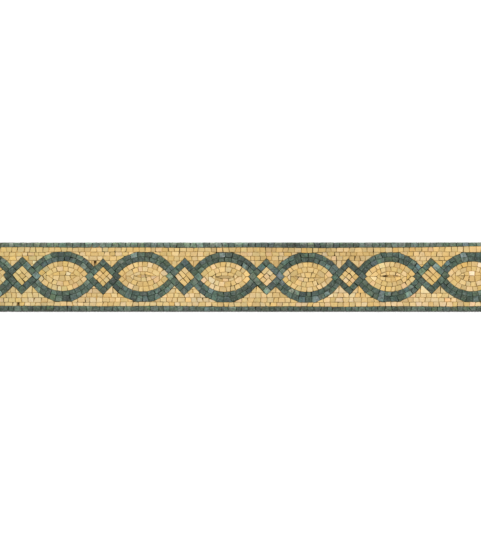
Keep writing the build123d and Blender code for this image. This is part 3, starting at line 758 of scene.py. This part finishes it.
for i in range(BX):
    for j in range(BY):
        faces.append((spot(0, i, j), spot(0, i, j + 1), spot(0, i + 1, j + 1), spot(0, i + 1, j)))
        faces.append((spot(1, i, j), spot(1, i + 1, j), spot(1, i + 1, j + 1), spot(1, i, j + 1)))
for i in range(BX):
    faces.append((spot(0, i, 0), spot(0, i + 1, 0), spot(1, i + 1, 0), spot(1, i, 0)))
    faces.append((spot(0, i + 1, BY), spot(0, i, BY), spot(1, i, BY), spot(1, i + 1, BY)))
for j in range(BY):
    faces.append((spot(0, 0, j + 1), spot(0, 0, j), spot(1, 0, j), spot(1, 0, j + 1)))
    faces.append((spot(0, BX, j), spot(0, BX, j + 1), spot(1, BX, j + 1), spot(1, BX, j)))
bed = new_object("joint_dust_and_shade", verts, faces)
colours = bed.data.attributes.new("stone", "FLOAT_COLOR", "POINT")
colours.data.foreach_set("color", np.array(tint, dtype=np.float32).ravel())
bed.data.materials.append(dust_and_shade_material())
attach(bed, "root")

PITCH = 5.0  # of the mesh, mm


def strands(name, along_x):
    """One set of strands, each going over and under the other set."""
    verts, faces = [], []
    length, across = ((hi.x - lo.x), (hi.y - lo.y)) if along_x else ((hi.y - lo.y), (hi.x - lo.x))
    count = int(across / PITCH)
    ring = [(0.52, 0.0), (0.0, 0.15), (-0.52, 0.0), (0.0, -0.15)]
    for s in range(count):
        wobble = [(rng.uniform(-0.12, 0.12), rng.uniform(0.01, 0.03), rng.uniform(0, 6.28)) for _ in range(2)]
        c = -across / 2 + PITCH * (s + 0.5) + (across - count * PITCH) / 2
        steps = int(length / PITCH) * 2
        us = [-length / 2 + 0.3 + (length - 0.6) * i / steps for i in range(steps + 1)]
        if not along_x:
            us = sorted(us + [0.9 - length / 2, 1.6 - length / 2, 2.2 - length / 2])
        start = len(verts)
        for u in us:
            turn = math.pi * (u / PITCH + s) + (0.0 if along_x else math.pi)
            z = 0.33 + 0.13 * math.sin(turn)
            if not along_x:  # the cut ends lie on top of the film where it stands out
                z += 0.78 * min(1.0, max(0.0, (2.6 - length / 2 - u) / 1.0))
            side = c + sum(a * math.sin(k * u + p) for a, k, p in wobble)
            for dx, dz in ring:
                x, y = (u, side + dx) if along_x else (side + dx, u)
                verts.append((x * MM, y * MM, (z + dz) * MM))
        for i in range(len(us) - 1):
            a, b = start + 4 * i, start + 4 * i + 4
            for q in range(4):
                r = (q + 1) % 4
                quad = (a + q, b + q, b + r, a + r)
                faces.append(quad if along_x else quad[::-1])
        end = start + 4 * (len(us) - 1)
        first, last = (start, start + 1, start + 2, start + 3), (end + 3, end + 2, end + 1, end)
        faces += [first, last] if along_x else [first[::-1], last[::-1]]
    ob = new_object(name, verts, faces)
    ob.data.materials.append(mesh_look)
    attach(ob, "root")
    return ob


mesh_look = strand_material()
strands("mesh_strands_long", True)
strands("mesh_strands_cross", False)

# ---- stage ---------------------------------------------------------------
scene = bpy.context.scene
scene.view_settings.view_transform = "Standard"
scene.view_settings.look = "None"

k = Nodes("floor_white")
k.shader.inputs["Base Color"].default_value = (0.93, 0.93, 0.93, 1.0)
k.shader.inputs["Roughness"].default_value = 0.9
k.shader.inputs["Specular IOR Level"].default_value = 0.1
floor = new_object(
    "floor", [(-6, -6, -0.0003), (6, -6, -0.0003), (6, 6, -0.0003), (-6, 6, -0.0003)], [(0, 1, 2, 3)], smooth=False
)
floor.data.materials.append(k.m)

world = bpy.data.worlds.new("studio")
scene.world = world
world.use_nodes = True
world.node_tree.nodes["Background"].inputs[0].default_value = (1.0, 1.0, 1.0, 1.0)
world.node_tree.nodes["Background"].inputs[1].default_value = 0.85


def light(name, place, aim, size, power):
    data = bpy.data.lights.new(name, "AREA")
    data.shape, data.size, data.energy = "SQUARE", size, power
    ob = bpy.data.objects.new(name, data)
    ob.location = place
    ob.rotation_euler = (Vector(aim) - Vector(place)).to_track_quat("-Z", "Y").to_euler()
    scene.collection.objects.link(ob)


light("key", (-0.5, 0.7, 2.7), (0, 0, 0), 1.4, 48.0)
light("fill", (0.9, -0.5, 2.7), (0, 0, 0), 1.8, 14.0)

# Looking straight down on the face, so far off that the strip is seen square
PIXEL = 1.7455 * MM  # width of the photograph's pixel on the stone face
DISTANCE = 3.2
camera = bpy.data.cameras.new("camera")
camera.sensor_fit = "VERTICAL"
camera.sensor_height = 36.0
camera.lens = 36.0 * (DISTANCE - 0.009) / (555 * PIXEL)
camera.clip_end = 50.0
eye = bpy.data.objects.new("camera", camera)
eye.location = ((240.5 - 268.05) * PIXEL, (276.7 - 277.5) * PIXEL + UP * MM, DISTANCE)
scene.collection.objects.link(eye)
scene.camera = eye

print("stones", sum(len(s) for s in all_stones.values()), "triangles", total)
